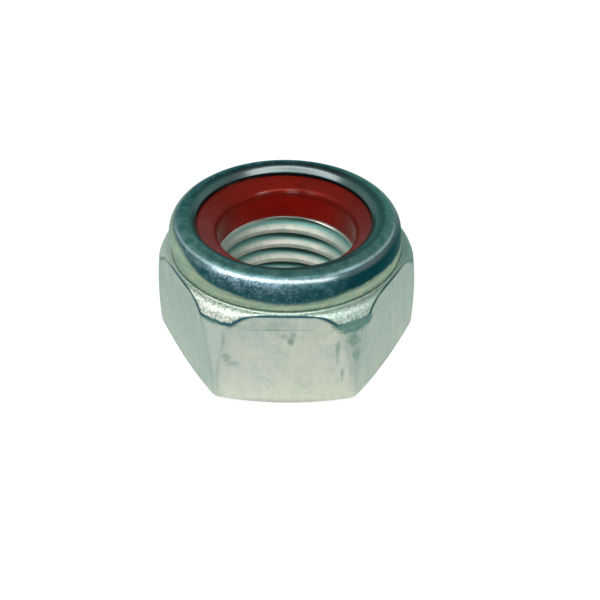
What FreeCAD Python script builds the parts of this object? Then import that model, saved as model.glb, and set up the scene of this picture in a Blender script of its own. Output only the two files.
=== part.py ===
import FreeCAD, Part
import math
import os

from FreeCAD import Vector

# Nylon insert lock nut for an M20 x 2.5 bolt. The bearing face lies on Z = 0, the
# thread runs up the Z axis, and two of the flats face -Y and +Y. Lengths are in
# millimetres, angles in degrees.

# Thread
thread_d = 20.0                # nominal diameter
thread_pitch = 2.5
entry_overhang = 0.8           # the countersink in the bearing face is this much wider
exit_underhang = 0.5           # the countersink under the insert is this much narrower
countersink_angle = 120.0      # between opposite walls, at both ends
groove_start = 0.6             # height of the groove's middle at the +X corner

# Nylon insert
insert_grip = 1.18             # how deep the bolt's thread cuts into the insert's bore
insert_wall = 3.83             # from the bore out to the outside
insert_height = 5.0
insert_face_drop = 0.9         # the open face falls this much from the lip to the bore
insert_clearance = 0.05        # between the insert and the wall of its recess

# Collar that is rolled in over the insert
collar_wall = 1.9
collar_height = 4.4            # from its foot to the top of the nut
foot_bevel = 0.35              # where the collar rises from the hexagon
roll_r = 2.2                   # outer radius of the bend
crown_width = 0.35             # flat top between the bend and the slope of the lip
lip_slope = 43.0               # the lip dips inwards at this angle
lip_reach = 1.66               # from the wall of the recess in to the edge of the lip
lip_edge = 0.5                 # thickness of the lip's pinched edge

# Hexagon
flat_margin = 0.4              # from the outside of the collar out to the flats
hex_height = 14.3              # from the bearing face to the foot of the collar
corner_cut = 0.07              # the fullest corners fall this short of sharp ones
corner_fade = 0.92             # how far the corners draw in towards the top
corner_full_height = 2.0       # up to here the corners are full
bearing_inset = 0.2            # from the flats in to the edge of the bearing face
bearing_chamfer_angle = 25.0   # rise of the chamfer around the bearing face
top_slope = 10.0               # the turned top of the hexagon falls outwards at this angle
top_chamfer_width = 0.73       # the corners' chamfer, measured across
top_chamfer_height = 1.6       # height that the slope and the chamfer take off the corners

# The sizes below follow from those above, from the thread outwards. The ISO profile
# is a triangle with 60 degree flanks, and the nut's crests stand 5/8 of its height
# inside the nominal diameter.
triangle_height = thread_pitch * math.cos(math.radians(30))
crest_r = thread_d / 2 - 5 / 8 * triangle_height
root_r = thread_d / 2 + triangle_height / 8
entry_r = thread_d / 2 + entry_overhang
exit_r = thread_d / 2 - exit_underhang

insert_bore_r = thread_d / 2 - insert_grip
insert_r = insert_bore_r + insert_wall
recess_r = insert_r + insert_clearance
lip_r = recess_r - lip_reach
collar_r = recess_r + collar_wall

flat_y = collar_r + flat_margin            # half of the width across flats, 30 mm
sharp_corner_r = flat_y / math.cos(math.radians(30))
corner_r = sharp_corner_r - corner_cut
corner_top_r = corner_r - corner_fade
bearing_r = flat_y - bearing_inset

foot_r = collar_r + foot_bevel
shoulder_r = corner_top_r - top_chamfer_width
shoulder_z = hex_height - (shoulder_r - foot_r) * math.tan(math.radians(top_slope))
corner_top_z = hex_height - top_chamfer_height

nut_height = hex_height + collar_height
crown_r = collar_r - roll_r - crown_width
lip_z = nut_height - (crown_r - lip_r) * math.tan(math.radians(lip_slope))
lip_under_z = lip_z - lip_edge
seat_z = lip_under_z - insert_height

axis = Vector(0, 0, 1)


def at(r, z):
    """A point of a turned outline, at radius r and height z."""
    return Vector(r, 0, z)


def outline(start, *pieces):
    """A closed wire from a first point, through points and curves, back to it."""
    edges = []
    last = start
    for piece in pieces:
        if isinstance(piece, Vector):
            ends = [piece, piece]
            curve = []
        else:
            ends = sorted((v.Point for v in piece.Vertexes), key=last.distanceToPoint)
            curve = [piece]
        if last.distanceToPoint(ends[0]) > 1e-6:
            edges.append(Part.makeLine(last, ends[0]))
        edges += curve
        last = ends[1]
    edges.append(Part.makeLine(last, start))
    return Part.Wire(edges)


def turned(*pieces, sweep=360):
    """Turns the closed outline of points and curves about the thread's axis."""
    return Part.Face(outline(*pieces)).revolve(Vector(), axis, sweep)


def corner_bulge():
    """The forged corners' outline, from their full height in to the top chamfer."""
    rise = corner_top_z - corner_full_height
    radius = (rise ** 2 + corner_fade ** 2) / (2 * corner_fade)
    half_angle = math.asin(rise / radius) / 2
    middle = at(corner_r - radius + radius * math.cos(half_angle),
                corner_full_height + radius * math.sin(half_angle))
    full = at(corner_r, corner_full_height)
    return Part.Arc(full, middle, at(corner_top_r, corner_top_z)).toShape()


def rolled_shoulder():
    """The outline of the collar's bend, from its side to its top."""
    inset = roll_r * (1 - math.cos(math.radians(45)))
    side = at(collar_r, nut_height - roll_r)
    middle = at(collar_r - inset, nut_height - inset)
    return Part.Arc(side, middle, at(collar_r - roll_r, nut_height)).toShape()


def forged_outside():
    """The nut's outside: a hexagon cut to a turned form of chamfers, corners and collar."""
    chamfer_rise = math.tan(math.radians(bearing_chamfer_angle))
    form = turned(
        at(0, 0),
        at(bearing_r, 0),
        at(corner_r, (corner_r - bearing_r) * chamfer_rise),
        corner_bulge(),
        at(shoulder_r, shoulder_z),
        at(foot_r, hex_height),
        at(collar_r, hex_height + foot_bevel),
        rolled_shoulder(),
        at(crown_r, nut_height),
        at(lip_r, lip_z),
        at(0, lip_z),
    )
    # The turned form's seam lies across a flat, so no corner is split by it.
    form.rotate(Vector(), axis, 30)
    corners = [Vector(sharp_corner_r * math.cos(math.radians(60 * i)),
                      sharp_corner_r * math.sin(math.radians(60 * i)), 0) for i in range(6)]
    hexagon = Part.Face(outline(*corners))
    return hexagon.extrude(axis * nut_height).common(form)


def insert_recess():
    """The room for the insert, under the lip, and the opening through the lip."""
    return turned(
        at(0, seat_z),
        at(recess_r, seat_z),
        at(recess_r, lip_under_z),
        at(lip_r, lip_under_z),
        at(lip_r, nut_height),
        at(0, nut_height),
    )


def bore():
    """The hole at the crests' diameter, with a countersink at each end.

    It is made of four quarters, so the thread's crest is a row of short faces."""
    countersink_rise = 1 / math.tan(math.radians(countersink_angle / 2))
    quarters = []
    for i in range(4):
        quarter = turned(
            at(0, -thread_pitch),
            at(entry_r, -thread_pitch),
            at(entry_r, 0),
            at(crest_r, (entry_r - crest_r) * countersink_rise),
            at(crest_r, seat_z - (exit_r - crest_r) * countersink_rise),
            at(exit_r, seat_z),
            at(0, seat_z),
            sweep=90,
        )
        quarter.rotate(Vector(), axis, 90 * i)
        quarters.append(quarter)
    return quarters[0].multiFuse(quarters[1:])


def thread_groove():
    """The groove between the crests: two flanks that meet in a sharp root, swept along
    a right-hand helix that runs past both ends of the hole."""
    mouth_r = crest_r - triangle_height / 8
    half_mouth = (root_r - mouth_r) * math.tan(math.radians(30))
    section = outline(at(mouth_r, -half_mouth), at(root_r, 0), at(mouth_r, half_mouth))
    turns = math.ceil(seat_z / thread_pitch) + 2
    helix = Part.makeLongHelix(thread_pitch, turns * thread_pitch, root_r)
    groove = helix.makePipeShell([section], True, True)
    groove.translate(axis * (groove_start - thread_pitch))
    return groove


def nut_body():
    """The steel nut, with the collar as rolled and the thread cut."""
    return forged_outside().cut(insert_recess()).cut(bore()).cut(thread_groove())


def locking_insert():
    """The nylon ring, clamped between the floor of its recess and the lip."""
    return turned(
        at(insert_bore_r, seat_z),
        at(insert_r, seat_z),
        at(insert_r, lip_under_z),
        at(lip_r, lip_under_z),
        at(insert_bore_r, lip_under_z - insert_face_drop),
    )


os.makedirs("parts", exist_ok=True)
for build in (nut_body, locking_insert):
    piece = build()
    piece.Solids[0].exportStep("parts/" + build.__name__ + ".step")
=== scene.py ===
import math

import bpy
from mathutils import Matrix, Vector


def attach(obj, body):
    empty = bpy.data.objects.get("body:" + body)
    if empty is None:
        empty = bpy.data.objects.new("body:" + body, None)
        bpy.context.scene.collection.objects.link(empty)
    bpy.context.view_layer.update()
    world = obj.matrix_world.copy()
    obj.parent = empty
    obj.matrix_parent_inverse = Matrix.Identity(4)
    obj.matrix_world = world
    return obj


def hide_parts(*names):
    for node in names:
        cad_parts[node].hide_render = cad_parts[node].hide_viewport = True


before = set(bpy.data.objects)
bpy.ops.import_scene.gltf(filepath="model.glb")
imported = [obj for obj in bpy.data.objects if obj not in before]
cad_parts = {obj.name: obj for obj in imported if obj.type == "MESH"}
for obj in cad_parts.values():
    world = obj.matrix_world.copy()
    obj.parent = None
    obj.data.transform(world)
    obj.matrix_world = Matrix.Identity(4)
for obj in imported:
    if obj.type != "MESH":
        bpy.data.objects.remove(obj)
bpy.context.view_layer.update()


# The nut. A forged steel hexagon with a thin collar on top, threaded by a tap, zinc plated,
# and at the end rolled in over the nylon ring. Its shape is its own section turned about the
# thread's axis, then cut to a hexagon. Sizes are in millimetres, radii from the axis.

mm = 0.001
flats, edge_rounding = 15.0, 0.5                    # half of the width across flats
bearing_edge, bearing_chamfer_z = 14.8, 1.143       # the chamfer round the bearing face
corner, corner_full_z = 17.25, 2.0                  # up to this height the corners are full,
corner_top, corner_top_z = 16.33, 12.7              # and at this one they have drawn in
shoulder, shoulder_z = 15.6, 14.185                 # where their chamfer meets the slope
collar, collar_foot_z = 14.6, 14.3
roll, inner_bend, lip_slope = 2.2, 1.2, math.radians(50)
top = 18.7
lip, lip_z, lip_under = 11.04, 17.746, 17.258       # the lip's edge, and its two heights
recess, seat = 12.7, 12.258                         # the room for the ring, and its floor
crest, root, pitch, groove_start = 8.647, 10.271, 2.5, 0.6
root_flat, root_rounding, crest_rounding = 0.12, 0.25, 0.3
countersink, countersink_rounding, exit_countersink = 10.8, 0.12, 9.6
lip_drift = (-0.34, 0.24, 0)
columns, corner_crowding = 384, 0.35
sharpest_smooth_fold = math.radians(34)


def rounded_outline(points):
    """A polyline through (r, z, radius of the bend, length of a step) points."""
    line = []
    for i, (r, z, bend, step) in enumerate(points):
        here = Vector((r, z))
        arc = [here]
        if 0 < i < len(points) - 1 and bend > 0:
            back = (Vector(points[i - 1][:2]) - here).normalized()
            on = (Vector(points[i + 1][:2]) - here).normalized()
            half = back.angle(on) / 2
            middle = here + (back + on).normalized() * (bend / math.sin(half))
            first = here + back * (bend / math.tan(half)) - middle
            last = here + on * (bend / math.tan(half)) - middle
            start = math.atan2(first.y, first.x)
            sweep = (math.atan2(last.y, last.x) - start + math.pi) % math.tau - math.pi
            count = round(abs(sweep) * 8 / math.pi) + 2
            arc = [middle + bend * Vector((math.cos(start + sweep * k / count),
                                           math.sin(start + sweep * k / count)))
                   for k in range(count + 1)]
        if line:
            count = max(1, round((arc[0] - line[-1]).length / step))
            line += [line[-1].lerp(arc[0], k / count) for k in range(1, count)]
        line += arc
    return line


def arc_points(middle_r, middle_z, radius, start, end, step):
    """Points of an arc of the outline, as rounded_outline takes them."""
    count = math.ceil(abs(end - start) * radius / step)
    angles = [start + (end - start) * k / count for k in range(count + 1)]
    return [(middle_r + radius * math.cos(a), middle_z + radius * math.sin(a), 0, step)
            for a in angles]


# The corners draw in along an arc that starts upright where they are full.
bulge_rise = corner_top_z - corner_full_z
bulge = (bulge_rise ** 2 + (corner - corner_top) ** 2) / (2 * (corner - corner_top))

# The section from the bearing face up the corner, over the collar and the lip, to the
# floor that the ring sits on.
outside = [
    (countersink, 0, 0, 1),
    (bearing_edge, 0, 0.2, 1.2),
    (corner, bearing_chamfer_z, 0.5, 0.3),
    (corner, corner_full_z, 0, 0.3),
    *arc_points(corner - bulge, corner_full_z, bulge, 0.03, math.asin(bulge_rise / bulge), 0.32),
    (shoulder, shoulder_z, 1.2, 0.13),
    (collar, collar_foot_z, 0.3, 0.15),
    *arc_points(collar - roll, top - roll, roll, 0, math.pi / 2, 0.14),
    *arc_points(collar - roll, top - inner_bend, inner_bend, math.pi / 2,
                math.pi / 2 + lip_slope, 0.1)[1:],
    (lip, lip_z, 0.16, 0.16),
    (lip, lip_under, 0.06, 0.1),
    (recess, lip_under, 0, 0.6),
    (recess, seat, 0, 0.6),
    (exit_countersink, seat, 0, 1),
]
outline = [(p.x, p.y, 0) for p in rounded_outline(outside)[1:-1]]

# The thread's rows, for one turn of the helix: close at the crest's edges and at the root.
turn_rows = [-1.1, -0.98, -0.9, -0.72, -0.42, -0.16, -0.05, 0.05, 0.16, 0.42, 0.72, 0.9, 0.98, 1.1]
turns = math.ceil((seat + pitch) / pitch) + 1
thread_rows = [groove_start + pitch * k + s for k in range(-2, turns) for s in turn_rows]
thread_rows = sorted((z for z in thread_rows if -pitch < z < seat), reverse=True)
outline += [(crest, z, 1) for z in [seat, *thread_rows, -pitch]]

section = bpy.data.meshes.new("nut_section")
section.from_pydata([(r * mm, 0, z * mm) for r, z, wound in outline], [], [])
section.attributes.new("wound", "FLOAT", "POINT").data.foreach_set(
    "value", [float(wound) for r, z, wound in outline])
nut = bpy.data.objects.new("nut_body_look", section)
bpy.context.scene.collection.objects.link(nut)


class Value:
    """What comes out of a node. A sum that is done with it adds a Math node to its tree."""

    def __init__(self, nodes, socket):
        self.nodes, self.socket = nodes, socket

    def __add__(self, other):
        return self.nodes.math("ADD", self, other)

    def __sub__(self, other):
        return self.nodes.math("SUBTRACT", self, other)

    def __rsub__(self, other):
        return self.nodes.math("SUBTRACT", other, self)

    def __mul__(self, other):
        return self.nodes.math("MULTIPLY", self, other)

    def __truediv__(self, other):
        return self.nodes.math("DIVIDE", self, other)

    def __abs__(self):
        return self.nodes.math("ABSOLUTE", self)

    __radd__, __rmul__ = __add__, __mul__


class Nodes:
    """Short ways to add nodes to a tree, whose inputs take numbers, colours and Values alike."""

    def __init__(self, tree):
        self.tree = tree

    def join(self, value, socket):
        if isinstance(value, Value):
            self.tree.links.new(value.socket, socket)
        elif value is not None:
            socket.default_value = value

    def node(self, kind, settings=None, **inputs):
        new = self.tree.nodes.new(kind)
        for key, value in (settings or {}).items():
            setattr(new, key, value)
        for key, value in inputs.items():
            self.join(value, new.inputs[key.replace("_", " ")])
        return new

    def value(self, kind, settings=None, output=0, **inputs):
        return Value(self, self.node(kind, settings, **inputs).outputs[output])

    def math(self, operation, *values):
        new = self.node("ShaderNodeMath", {"operation": operation})
        for value, socket in zip(values, new.inputs):
            self.join(value, socket)
        return Value(self, new.outputs[0])

    def vector(self, operation, first, second):
        new = self.node("ShaderNodeVectorMath", {"operation": operation}, Vector=first)
        self.join(second, new.inputs["Scale" if operation == "SCALE" else 1])
        return Value(self, new.outputs[0])

    def split(self, vector):
        parts = self.node("ShaderNodeSeparateXYZ", Vector=vector).outputs
        return [Value(self, part) for part in parts]

    def step(self, value, low, high):
        """0 before low, 1 past high, and a soft step between them."""
        return self.value("ShaderNodeMapRange", {"interpolation_type": "SMOOTHSTEP"}, Value=value,
                          From_Min=low, From_Max=high)


class Forming(Nodes):
    """A geometry node tree with named inputs, which shapes one piece."""

    def __init__(self, name, inputs):
        super().__init__(bpy.data.node_groups.new(name, "GeometryNodeTree"))
        sockets = self.tree.interface
        sockets.new_socket("Geometry", in_out="INPUT", socket_type="NodeSocketGeometry")
        for label, kind, value in inputs:
            socket = sockets.new_socket(label, in_out="INPUT", socket_type=kind)
            if value is not None:
                socket.default_value = value
        sockets.new_socket("Geometry", in_out="OUTPUT", socket_type="NodeSocketGeometry")
        self.given = {socket.name: Value(self, socket)
                      for socket in self.tree.nodes.new("NodeGroupInput").outputs}

    def end(self, geometry):
        """Lets the tree end in plain geometry with the piece's finish on it."""
        geometry = self.value("GeometryNodeRealizeInstances", Geometry=geometry)
        geometry = self.value("GeometryNodeSetMaterial", Geometry=geometry,
                              Material=self.given["Finish"])
        self.join(geometry, self.tree.nodes.new("NodeGroupOutput").inputs[0])

    def shape(self, piece, values):
        """Runs the tree on a piece and turns the result into the piece's own plain mesh."""
        modifier = piece.modifiers.new("shape", "NODES")
        modifier.node_group = self.tree
        for item in self.tree.interface.items_tree:
            if item.item_type == "SOCKET" and item.in_out == "INPUT" and item.name in values:
                modifier[item.identifier] = values[item.name]
        bpy.context.view_layer.update()
        shaped = piece.evaluated_get(bpy.context.evaluated_depsgraph_get())
        mesh = bpy.data.meshes.new_from_object(shaped)
        if mesh.materials[0] is None:       # an empty slot that the tree's grid brings along
            mesh.materials.pop(index=0)
        piece.modifiers.remove(modifier)
        piece.data = mesh


tree = Forming("turned_and_cut", [
    ("Columns", "NodeSocketInt", columns),
    ("Flats", "NodeSocketFloat", flats * mm),
    ("Edge Rounding", "NodeSocketFloat", edge_rounding * mm),
    ("Crest", "NodeSocketFloat", crest * mm),
    ("Root", "NodeSocketFloat", root * mm),
    ("Pitch", "NodeSocketFloat", pitch * mm),
    ("Groove Start", "NodeSocketFloat", groove_start * mm),
    ("Seat", "NodeSocketFloat", seat * mm),
    ("Countersink", "NodeSocketFloat", countersink * mm),
    ("Exit Countersink", "NodeSocketFloat", exit_countersink * mm),
    ("Lip Drift", "NodeSocketVector", [length * mm for length in lip_drift]),
    ("Sharp Edge", "NodeSocketFloat", sharpest_smooth_fold),
    ("Finish", "NodeSocketMaterial", None),
])
given = tree.given

# One row of the grid for each point of the section, and one column for each angle.
rows = tree.value("GeometryNodeAttributeDomainSize", output="Point Count",
                  Geometry=given["Geometry"])
around = given["Columns"] + 1
grid = tree.value("GeometryNodeMeshGrid", output="Mesh", Vertices_X=rows + 1, Vertices_Y=around)
index = tree.value("GeometryNodeInputIndex")
row = tree.math("FLOOR", (index + 0.5) / around)
column = tree.math("FLOORED_MODULO", index, around)
point = tree.math("FLOORED_MODULO", row, rows)


def of_section(kind, value):
    """What the section holds at its point for this row."""
    return tree.value("GeometryNodeSampleIndex", {"data_type": kind}, Value=value,
                      Geometry=given["Geometry"], Index=point)


place = of_section("FLOAT_VECTOR", tree.value("GeometryNodeInputPosition"))
drawn_r, _, drawn_z = tree.split(place)
is_wound = of_section("FLOAT", tree.value("GeometryNodeInputNamedAttribute",
                                          {"data_type": "FLOAT"}, Name="wound"))

# The columns stand closer at the six corners, where the section changes fastest.
turn = column / given["Columns"] * math.tau
angle = turn - tree.math("SINE", turn * 6) * (corner_crowding / 6)

# The thread's rows climb by one pitch in a turn and stop at both ends of the hole.
climb = angle / math.tau * given["Pitch"]
wound_z = tree.math("MINIMUM", tree.math("MAXIMUM", drawn_z + climb, 0), given["Seat"])
half_pitch = given["Pitch"] * 0.5
off_groove = abs(tree.math("WRAP", wound_z - climb - given["Groove Start"], half_pitch,
                           half_pitch * -1))
steep = math.tan(math.radians(60))
flank = tree.math("SMOOTH_MIN", given["Root"] - off_groove * steep,
                  given["Root"] - root_flat * mm, root_rounding * mm)
thread = tree.math("SMOOTH_MAX", flank, given["Crest"], crest_rounding * mm)
entry = given["Countersink"] - wound_z * steep
leaving = given["Exit Countersink"] - (given["Seat"] - wound_z)
wound_r = tree.math("MAXIMUM", tree.math("SMOOTH_MAX", thread, entry, countersink_rounding * mm),
                    leaving)

# The hexagon: six flat faces, with edges that are rounded where they meet the turned form.
from_flat = tree.math("WRAP", angle - math.radians(30), math.radians(30), math.radians(-30))
flat_r = given["Flats"] / tree.math("COSINE", from_flat)
cut_r = tree.math("SMOOTH_MIN", drawn_r, flat_r, given["Edge Rounding"])

radius = cut_r + is_wound * (wound_r - cut_r)
height = drawn_z + is_wound * (wound_z - drawn_z)
spot = tree.value("ShaderNodeCombineXYZ", X=radius * tree.math("COSINE", angle),
                  Y=radius * tree.math("SINE", angle), Z=height)

# The collar was rolled a little off centre: its side by 0.2 mm, the edge of its lip by 0.4 mm.
# The recess and the thread stay on the axis, and r + z tells them from what lies outside.
lifted = tree.step(drawn_z, 14.6 * mm, 16.6 * mm)
rolled_in = tree.step(drawn_r, 12.9 * mm, 11.2 * mm)
outside_only = tree.math("GREATER_THAN", drawn_r + drawn_z, (recess + 15.4) * mm)
lip_part = tree.math("GREATER_THAN", drawn_z, (lip_under - 0.1) * mm)
drift = lifted * tree.math("MAXIMUM", outside_only, lip_part) * (rolled_in * 0.5 + 0.5)
spot = tree.vector("ADD", spot, tree.vector("SCALE", given["Lip Drift"], drift))

# The flat_cut attribute says how far, in mm, the hexagon cuts into the turned form.
shape = tree.value("GeometryNodeSetPosition", Geometry=grid, Position=spot)
shape = tree.value("GeometryNodeStoreNamedAttribute", {"data_type": "FLOAT", "domain": "POINT"},
                   Geometry=shape, Name="flat_cut", Value=(drawn_r - flat_r) / mm)

# The grid's first and last columns and rows meet, and so do the thread's rows at both ends of
# the hole. Merged, they close the mesh. The sharp folds are kept, and all the rest is smooth.
shape = tree.value("GeometryNodeMergeByDistance", Geometry=shape, Distance=0.0015 * mm)
shape = tree.value("GeometryNodeFlipFaces", Mesh=shape)
shape = tree.value("GeometryNodeSetShadeSmooth", Geometry=shape, Shade_Smooth=True)
fold = tree.value("GeometryNodeInputMeshEdgeAngle", output="Unsigned Angle")
shape = tree.value("GeometryNodeSetShadeSmooth", {"domain": "EDGE"}, Geometry=shape,
                   Shade_Smooth=tree.math("LESS_THAN", fold, given["Sharp Edge"]))
tree.end(shape)


class Finish(Nodes):
    """A material around one Principled shader, which reads object coordinates in mm."""

    def __init__(self, name):
        self.material = bpy.data.materials.new(name)
        self.material.use_nodes = True
        super().__init__(self.material.node_tree)
        self.spot = self.vector("SCALE", self.value("ShaderNodeTexCoord", output="Object"), 1 / mm)
        self.x, self.y, self.z = self.split(self.spot)
        self.r = self.math("SQRT", self.x * self.x + self.y * self.y)

    def noise(self, scale, stretch=(1, 1, 1), detail=4, roughness=0.55):
        return self.value("ShaderNodeTexNoise", Vector=self.vector("MULTIPLY", self.spot, stretch),
                          Scale=scale, Detail=detail, Roughness=roughness)

    def near(self, value, middle, far, close):
        """1 where a value is within close of the middle, and 0 where it is far from it."""
        return self.step(abs(value - middle), far, close)

    def any_of(self, *masks):
        result = masks[0]
        for mask in masks[1:]:
            result = self.math("MAXIMUM", result, mask)
        return result

    def mix(self, amount, first, second):
        new = self.node("ShaderNodeMix", {"data_type": "RGBA"})
        self.join(amount, new.inputs[0])
        for value, socket in ((first, new.inputs[6]), (second, new.inputs[7])):
            self.join((*value, 1) if isinstance(value, tuple) else value, socket)
        return Value(self, new.outputs[2])

    def layers(self, ground, *coats):
        """A ground colour and the colours that lie over it, each where its mask is 1."""
        for mask, colour in coats:
            ground = self.mix(mask, ground, colour)
        return ground

    def shade(self, **inputs):
        """Sets the shader's own inputs."""
        shader = self.tree.nodes["Principled BSDF"]
        for key, value in inputs.items():
            self.join(value, shader.inputs[key.replace("_", " ")])


# The zinc is pale and satin on the flats, rough and bright where the top was turned, and
# glossy and blue-green where the collar was rolled; the roll's dark is painted reflection.
zinc = Finish("zinc_plating")
across_flat = zinc.value("ShaderNodeAttribute", {"attribute_name": "flat_cut"}, "Fac")
around_axis = zinc.math("ARCTAN2", zinc.y, zinc.x)
sideward = abs(zinc.x)

cloud = zinc.noise(0.16, detail=5, roughness=0.6)
patch = zinc.noise(0.45, detail=4, roughness=0.6)
mottle = zinc.noise(0.9, detail=6, roughness=0.65)
grain = zinc.noise(3.6, detail=5, roughness=0.8)
streak = zinc.noise(1.0, stretch=(1.3, 1.3, 0.22), detail=5, roughness=0.6)
turned_lines = zinc.noise(1.0, stretch=(0.25, 0.25, 4.0), detail=4, roughness=0.6)

# The flats are painted greyer towards the top and paler at the foot, as reflection of the
# bright table, and painted paler on the side flats as light. Streaks run up them, with warm
# clouds and patches on the front one, and fine dark specks.
outer = zinc.step(zinc.r, 13.0, 13.4)
on_side = zinc.step(sideward, 8.0, 11.0)
front_only = 1 - 0.75 * on_side
flat_tone = zinc.layers(
    zinc.mix(zinc.step(zinc.z, 6.0, 14.0), (0.45, 0.505, 0.45), (0.385, 0.45, 0.39)),
    (zinc.step(zinc.z, 7.0, 0.5), (0.57, 0.61, 0.505)),                         # foot
    (0.5 * on_side, (0.48, 0.50, 0.425)),
    (0.12 * zinc.step(streak, 0.55, 0.3), (0.12, 0.20, 0.17)),                  # dark streaks
    (0.35 * zinc.step(streak, 0.55, 0.75), (0.62, 0.64, 0.55)),                 # pale streaks
    (0.4 * zinc.step(cloud, 0.42, 0.62) * front_only, (0.53, 0.565, 0.44)),     # warm clouds
    (0.4 * zinc.step(patch, 0.5, 0.7) * front_only, (0.54, 0.55, 0.46)),        # pale patches
    (0.14 * zinc.step(patch, 0.48, 0.3), (0.33, 0.41, 0.38)),                   # cool patches
    (0.5 * zinc.step(grain, 0.46, 0.32), (0.18, 0.22, 0.17)),                   # specks
    (0.16 * zinc.step(mottle, 0.52, 0.3), (0.16, 0.23, 0.20)))                  # mottling

# The turned top of the hexagon is coarse and bright, with painted shade to the right and at the
# ends.
on_flat = zinc.step(across_flat, 0.0, 0.25) * outer * zinc.step(zinc.z, 14.4, 14.25)
on_chamfer = (1 - on_flat) * outer * zinc.step(zinc.z + 0.5 * mottle, 12.75, 13.05)
chamfer_tone = zinc.layers(
    zinc.mix(zinc.step(grain, 0.4, 0.58), (0.20, 0.27, 0.22), (0.66, 0.68, 0.62)),
    (0.7 * zinc.step(abs(zinc.x + 0.8), 9.0, 12.0), (0.36, 0.45, 0.39)),        # both ends
    (0.5 * zinc.step(zinc.x, 1.0, 5.0), (0.24, 0.36, 0.30)),                    # right half
    (0.8 * zinc.step(zinc.x, 13.0, 15.5), (0.14, 0.25, 0.21)))                  # right corner

# Painted shade: a fine blue-green line where a flat ends below the turned top, and a dark
# broken one that runs on from it across the corners, for the dark that the creases reflect.
flat_end_shade = (zinc.any_of(zinc.step(across_flat, 0.36, 0.1) * zinc.step(zinc.z, 12.0, 12.8),
                        zinc.step(zinc.z, 13.8, 14.05))
            * zinc.step(across_flat, -0.12, 0.02) * outer * zinc.step(zinc.z, 14.3, 14.2))
corner_end_shade = (zinc.near(zinc.z + 0.5 * mottle, 12.95, 0.32, 0.1) * outer
              * zinc.step(across_flat, 0.45, 0.1))
far_end = zinc.step(sideward, 13.0, 15.0)
end_shade_line = zinc.any_of(flat_end_shade, corner_end_shade) * (1 - 0.4 * far_end)
end_shade_tone = zinc.layers(
    (0.025, 0.085, 0.105),
    (zinc.step(zinc.x, 4.0, 9.0), (0.012, 0.06, 0.055)),
    (far_end, (0.09, 0.14, 0.12)))

# The corners are painted darker at the right and cooler at the left for how light falls on
# them, with a faint painted shade line along each edge, and painted shade at the foot.
on_corner = zinc.step(across_flat, 0.1, -0.15) * outer * zinc.step(zinc.z, 13.0, 12.6)
corner_shade = on_corner * zinc.step(zinc.x, 4.0, 8.0) * zinc.step(zinc.z, 1.0, 5.0)
cooler = (zinc.step(across_flat, 0.3, -0.05) * outer * zinc.step(zinc.z, 12.5, 12.0)
          * zinc.step(zinc.x, -4.0, -8.0))
corner_ridge_shade = (zinc.near(across_flat, 0.12, 0.2, 0.04) * outer * zinc.step(zinc.z, 12.6, 12.0)
               * zinc.step(zinc.z, 1.2, 3.5) * zinc.step(mottle, 0.35, 0.6))
painted_foot_shade = zinc.step(zinc.z + 0.8 * mottle, 1.5, 0.8)

# The collar's side shows the lines of its turning, and painted shade as a broken dark line
# at its foot.
on_collar = zinc.step(zinc.z, 14.36, 14.52)
wall_tone = zinc.layers(
    zinc.mix(zinc.step(turned_lines, 0.35, 0.65), (0.22, 0.315, 0.235), (0.335, 0.42, 0.31)),
    (0.6 * zinc.step(mottle, 0.5, 0.65), (0.44, 0.46, 0.30)))
painted_crease_shade = (zinc.near(zinc.z + 0.7 * (grain - 0.5), 14.5, 0.2, 0.09)
             * zinc.step(zinc.r, 14.2, 14.4))

# The roll's painted dark, a reflection of dark surroundings, starts lower at the front and
# right than at the left and back.
dark_from = (16.35 - 0.3 * zinc.math("COSINE", around_axis)
             + 0.65 * zinc.math("SINE", around_axis)
             - 0.28 * zinc.math("COSINE", 4 * around_axis)
             + 1.7 * zinc.step(zinc.x, -8.0, -14.2) * zinc.step(zinc.r, 12.8, 13.2))
above = zinc.z + 0.9 * (mottle - 0.5) - dark_from
on_roll = zinc.step(above, -0.35, 0.35) * zinc.step(zinc.z, 15.0, 15.2)

# The roll is speckled. Painted reflection and light: a pale glow below the highlight at the
# front left, deepest dark at the right, a greener crown, a dim inside of the lip, painted shade
# along the lip's edge, and a thin painted highlight that follows the shoulder round both sides.
speckles = zinc.step(grain, 0.5, 0.7) * zinc.step(mottle, 0.45, 0.6) * zinc.any_of(
    zinc.step(sideward, 13.0, 9.0), zinc.step(zinc.z, 17.2, 17.7))
painted_glow = (zinc.step(grain + 0.5 * mottle, 0.62, 0.9) * zinc.step(zinc.z, 16.3, 17.5)
        * zinc.step(zinc.x, 4.0, -2.0) * zinc.step(zinc.x, -10.5, -6.0)
        * zinc.step(zinc.y, -6.0, -10.0))
deep = (zinc.step(zinc.x, 5.0, 8.0) * zinc.step(zinc.y, 0.0, -3.0)
        * zinc.step(zinc.z, 15.8, 16.2) * zinc.step(zinc.z, 18.2, 17.9))
right_crown = zinc.step(zinc.x, 5.0, 9.0) * zinc.step(zinc.z, 18.15, 18.35)
front_crown = zinc.step(zinc.z, 18.25, 18.55) * zinc.step(zinc.y, 9.0, -9.0)
inside_lip = zinc.step(zinc.r, 12.5, 12.1) * zinc.step(zinc.z, 17.0, 17.3)
lip_edge_shade = zinc.step(zinc.r, 12.0, 11.5) * zinc.step(zinc.z, 17.95, 17.75)
painted_shoulder_highlight = (zinc.near(zinc.z, 18.27, 0.16, 0.04) * zinc.step(zinc.r, 13.0, 13.2)
          * zinc.step(zinc.y, 0.0, -5.0) * zinc.step(mottle, 0.25, 0.5)
          * zinc.step(sideward, 3.0, 7.0))
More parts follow.
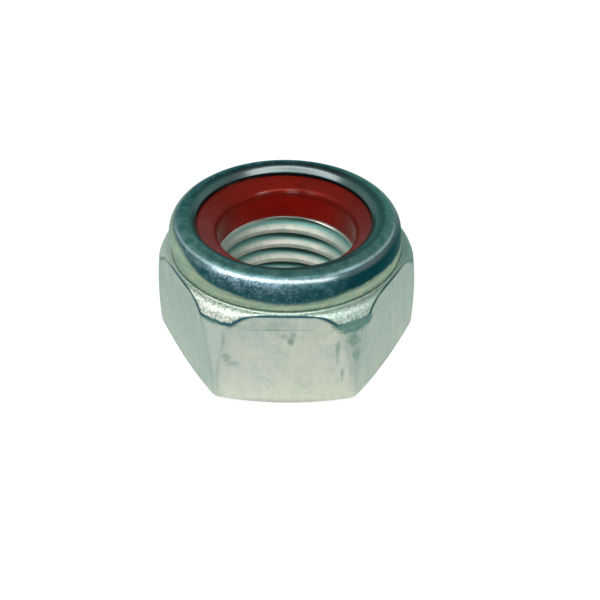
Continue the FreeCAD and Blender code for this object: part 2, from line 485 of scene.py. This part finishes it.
roll_tone = zinc.layers(
    zinc.mix(zinc.step(mottle, 0.35, 0.7), (0.008, 0.052, 0.056), (0.032, 0.10, 0.11)),
    (speckles, (0.12, 0.20, 0.24)),
    (0.7 * painted_glow, (0.18, 0.255, 0.315)),
    (0.9 * deep, (0.001, 0.032, 0.038)),
    (0.8 * right_crown, zinc.mix(mottle, (0.02, 0.10, 0.08), (0.08, 0.20, 0.17))),
    (0.9 * front_crown, zinc.mix(zinc.step(mottle, 0.35, 0.65), (0.05, 0.17, 0.155),
                                 (0.12, 0.27, 0.25))),
    (inside_lip, zinc.mix(zinc.step(sideward, 6.0, 10.0), (0.030, 0.046, 0.046),
                          (0.034, 0.098, 0.090))),
    (lip_edge_shade, (0.02, 0.045, 0.045)),
    (0.7 * painted_shoulder_highlight, (0.26, 0.40, 0.42)))

# The thread is dull and darker towards both sides, with painted shade in teal in its grooves
# and a painted highlight on the crest just below the ring.
in_bore = zinc.step(zinc.r, 11.0, 10.7) * zinc.step(zinc.z, 12.6, 12.3)
thread_tone = zinc.layers(
    zinc.mix(zinc.step(mottle, 0.35, 0.6), (0.36, 0.43, 0.37), (0.50, 0.49, 0.44)),
    (0.5 * zinc.step(sideward, 3.5, 7.5), (0.24, 0.35, 0.29)))
groove = (in_bore * zinc.step(zinc.r + 0.4 * (mottle - 0.5), 9.05, 9.55)
          * zinc.step(zinc.z, 11.6, 11.2) * zinc.step(zinc.z, 1.3, 1.8))
painted_crest_highlight = in_bore * zinc.step(zinc.z, 11.0, 11.4) * zinc.step(zinc.x, 7.0, 5.0)

# Marks on the outside: the side that they are on as an angle, then how far across it and
# how high they lie, their half width and half height, and how dark they are.
marks = [(270, -1.2, 12.1, 5.0, 0.14, 0.5), (270, -1.0, 12.7, 5.2, 0.6, 0.15),
         (270, 0.7, 10.3, 0.5, 0.7, 0.75), (270, 1.0, 11.4, 0.35, 0.5, 0.6),
         (270, 0.0, 11.0, 0.6, 0.5, 0.35), (270, -6.9, 7.7, 0.6, 0.8, 0.5),
         (270, -6.2, 6.8, 0.8, 0.4, 0.3), (270, 6.3, 8.8, 0.3, 2.4, 0.55),
         (270, -7.2, 10.8, 0.25, 1.3, 0.35), (270, 6.95, 5.2, 0.25, 1.0, 0.5),
         (300, 0.2, 12.2, 2.8, 0.9, 1.6), (300, -0.3, 10.4, 1.0, 1.3, 0.7),
         (300, 0.1, 8.2, 0.7, 1.2, 0.6), (240, -0.2, 12.5, 1.6, 0.35, 0.7)]
speckled = 0.45 + 0.75 * zinc.step(grain, 0.44, 0.56)
ragged = 1.6 * (mottle - 0.5) + 2.2 * (grain - 0.5)
stains = []
for side, offset, mark_z, half_width, half_height, depth in marks:
    facing = math.radians(side)
    toward = zinc.x * math.cos(facing) + zinc.y * math.sin(facing)
    across = (zinc.x * -math.sin(facing) + zinc.y * math.cos(facing) - offset) / half_width
    up = (zinc.z - mark_z) / half_height
    away = zinc.math("SQRT", across * across + up * up) + ragged
    stains.append(zinc.step(away, 1.15, 0.65) * zinc.step(toward, 12, 12.5) * depth * speckled)

tone = zinc.layers(
    flat_tone,
    (on_chamfer, chamfer_tone),
    (end_shade_line, end_shade_tone),
    (0.8 * corner_shade, (0.31, 0.385, 0.335)),
    (0.6 * cooler, (0.40, 0.475, 0.435)),
    (0.32 * corner_ridge_shade, (0.16, 0.25, 0.23)),
    (0.55 * painted_foot_shade, (0.37, 0.375, 0.37)),
    (on_collar, wall_tone),
    (on_roll, roll_tone),
    (in_bore, thread_tone),
    (groove, (0.18, 0.36, 0.33)),
    (painted_crest_highlight, (0.95, 0.93, 0.88)),
    (zinc.any_of(*stains), (0.10, 0.20, 0.17)),
    (0.85 * painted_crease_shade, (0.045, 0.09, 0.065)))

# A clear passivated coat shines on the roll's shoulder, most of all in front and behind.
polished = (on_roll * zinc.step(zinc.z, 18.6, 18.3) * zinc.step(zinc.z, 17.5, 17.95)
            * (1 - 0.6 * inside_lip) * (1 - 0.7 * zinc.step(sideward, 9.5, 13.0)))
relief = zinc.value("ShaderNodeBump", Strength=0.55, Distance=0.06 * mm,
                    Height=grain * (0.2 + 1.2 * on_chamfer) + 0.5 * mottle)
zinc.shade(Base_Color=tone, Metallic=1.0, Specular_Tint=(0.5, 0.68, 0.68, 1), Normal=relief,
           Roughness=0.34 + 0.14 * streak + 0.08 * on_chamfer + 0.3 * in_bore - 0.06 * on_roll,
           Coat_Weight=polished, Coat_Roughness=0.2, Coat_IOR=1.75)

tree.shape(nut, {"Finish": zinc.material})
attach(nut, "root")
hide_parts("nut_body")


# The locking ring. A turned ring of red nylon, pushed into the collar before it is rolled;
# the rolled lip clamps its outer edge, and its bore is left smaller than the thread.

ring_bore, ring_outside = 8.82, 12.65
ring_open_z, ring_edge_z = 16.358, 17.258
ring_columns = 256

# The outline starts and ends halfway up the bore, so that all its corners are rounded.
halfway = (ring_bore, (seat + ring_open_z) / 2, 0, 0.4)
ring_outline = rounded_outline([
    halfway,
    (ring_bore, seat, 0.1, 1),
    (ring_outside, seat, 0.1, 1),
    (ring_outside, ring_edge_z, 0.1, 1),
    (lip, ring_edge_z, 0.3, 0.3),
    (ring_bore, ring_open_z, 1.1, 0.2),
    halfway,
])[:-1]
count = len(ring_outline)
vertices, faces = [], []
for column in range(ring_columns):
    turned_by = Matrix.Rotation(math.tau * column / ring_columns, 3, "Z")
    vertices += [turned_by @ Vector((p.x * mm, 0, p.y * mm)) for p in ring_outline]
    here, on = column * count, (column + 1) % ring_columns * count
    faces += [(here + k, on + k, on + (k + 1) % count, here + (k + 1) % count)
              for k in range(count)]
ring_mesh = bpy.data.meshes.new("ring_section")
ring_mesh.from_pydata(vertices, [], faces)
ring_mesh.shade_smooth()
ring = bpy.data.objects.new("locking_insert_look", ring_mesh)
bpy.context.scene.collection.objects.link(ring)

# The nylon is deep red, brighter down its bore where light comes through it, and painted
# darker at both sides as shade.
nylon = Finish("red_nylon")
haze = nylon.noise(0.35, detail=4)
lathe = nylon.noise(1.0, stretch=(0.15, 0.15, 4.0), detail=3)
specks = nylon.noise(3.0, detail=3, roughness=0.6)
hazy = nylon.step(haze, 0.3, 0.7)
open_face = nylon.mix(hazy, (0.13, 0.006, 0.003), (0.175, 0.009, 0.004))
inner_wall = nylon.mix(hazy, (0.23, 0.005, 0.002), (0.30, 0.008, 0.003))
red = nylon.layers(
    open_face,
    (nylon.step(nylon.r, 9.3, 8.9) * nylon.step(nylon.z, 15.9, 14.9), inner_wall),
    (0.5 * nylon.step(abs(nylon.x), 5.5, 9.5), (0.085, 0.004, 0.002)),
    (0.15 * nylon.step(specks, 0.60, 0.72), (0.07, 0.004, 0.002)))

# Three short stretches of the rim at the back are smooth enough to glint.
rim = nylon.near(nylon.z, 15.9, 0.5, 0.3)
glints = [nylon.near(nylon.x, glint_x, half_width * 1.4, half_width * 0.5)
          * nylon.step(nylon.y, 0.0, 2.0) * rim * strength
          for glint_x, half_width, strength in ((0.6, 0.8, 1.0), (-3.4, 0.9, 0.35),
                                                (3.1, 0.5, 0.45))]
swell = nylon.value("ShaderNodeBump", Strength=0.4, Distance=0.05 * mm,
                    Height=0.5 * lathe + 0.2 * specks)
nylon.shade(Base_Color=red, Roughness=0.42 - 0.16 * nylon.step(haze, 0.45, 0.65), Normal=swell,
            IOR=1.5, Specular_IOR_Level=0.28, Specular_Tint=(1.0, 0.2, 0.16, 1),
            Subsurface_Weight=0.15, Subsurface_Radius=(1.0, 0.1, 0.1),
            Subsurface_Scale=0.8 * mm,
            Coat_Weight=nylon.any_of(*glints), Coat_Roughness=0.1, Coat_IOR=1.7)
ring_mesh.materials.append(nylon.material)

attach(ring, "root")
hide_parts("locking_insert")


# The photograph's table and light: a white surface that keeps a faint shadow, one long soft
# lamp high in front, and a sky that is white at the horizon and dimmer overhead.

reach = 3.0
table_mesh = bpy.data.meshes.new("table_top")
table_mesh.from_pydata([(-reach, -reach, 0), (reach, -reach, 0), (reach, reach, 0),
                        (-reach, reach, 0)], [], [(0, 1, 2, 3)])
table = bpy.data.objects.new("table_top", table_mesh)
bpy.context.scene.collection.objects.link(table)

# The table itself is grey, so that it throws little light back at the nut, but the camera
# and the glossy parts see it white.
paper = Finish("white_paper")
seen = paper.any_of(*[paper.value("ShaderNodeLightPath", output=ray) for ray in
                      ("Is Camera Ray", "Is Glossy Ray", "Is Transmission Ray")])
paper.shade(Base_Color=(0.35, 0.35, 0.35, 1), Roughness=0.9, Specular_IOR_Level=0.0,
            Emission_Color=(1, 1, 1, 1), Emission_Strength=0.78 * seen)
table_mesh.materials.append(paper.material)

world = bpy.data.worlds.new("studio")
bpy.context.scene.world = world
world.use_nodes = True
sky = Nodes(world.node_tree)
rise = sky.split(sky.value("ShaderNodeTexCoord", output="Generated"))[2]
background = world.node_tree.nodes["Background"]
background.inputs["Color"].default_value = (1, 1, 1, 1)
sky.join(1 - 0.6 * sky.step(rise, 0.3, 0.8), background.inputs["Strength"])

# The lamp lights everything gently, and its bright strip is seen only in what is glossy.
azimuth, elevation, distance = math.radians(-103), math.radians(60), 0.5
lamp_at = Vector((math.cos(azimuth) * math.cos(elevation), math.sin(azimuth) * math.cos(elevation),
                  math.sin(elevation))) * distance
for name, nearer, watts, lights_all in (("soft_lamp", 1.0, 1.7, True),
                                        ("lamp_strip", 0.98, 3.6, False)):
    lamp_data = bpy.data.lights.new(name, "AREA")
    lamp_data.shape = "RECTANGLE"
    lamp_data.size, lamp_data.size_y = 1.0 * nearer, 0.15 * nearer
    lamp_data.energy = watts
    lamp = bpy.data.objects.new(name, lamp_data)
    bpy.context.scene.collection.objects.link(lamp)
    lamp.location = lamp_at * nearer
    lamp.rotation_euler = lamp_at.to_track_quat("Z", "Y").to_euler()
    lamp.visible_diffuse = lights_all

# The camera stands where the photograph was taken, as fitted to the nut's outlines.
camera_data = bpy.data.cameras.new("camera")
camera_data.sensor_width = 36
camera_data.lens = 48.424
camera_data.clip_start = 0.005
camera = bpy.data.objects.new("camera", camera_data)
bpy.context.scene.collection.objects.link(camera)
right = Vector((0.99992698, 0.00378337, 0.01147667))
upward = Vector((-0.01131622, 0.62633616, 0.77947095))
forward = Vector((0.00423923, 0.77954391, -0.62633324))
turn_to = Matrix((right, upward, -forward)).transposed().to_4x4()
camera.matrix_world = Matrix.Translation(Vector((1.35882, -85.33171, 73.10552)) * mm) @ turn_to
bpy.context.scene.camera = camera
bpy.context.scene.view_settings.view_transform = "Standard"
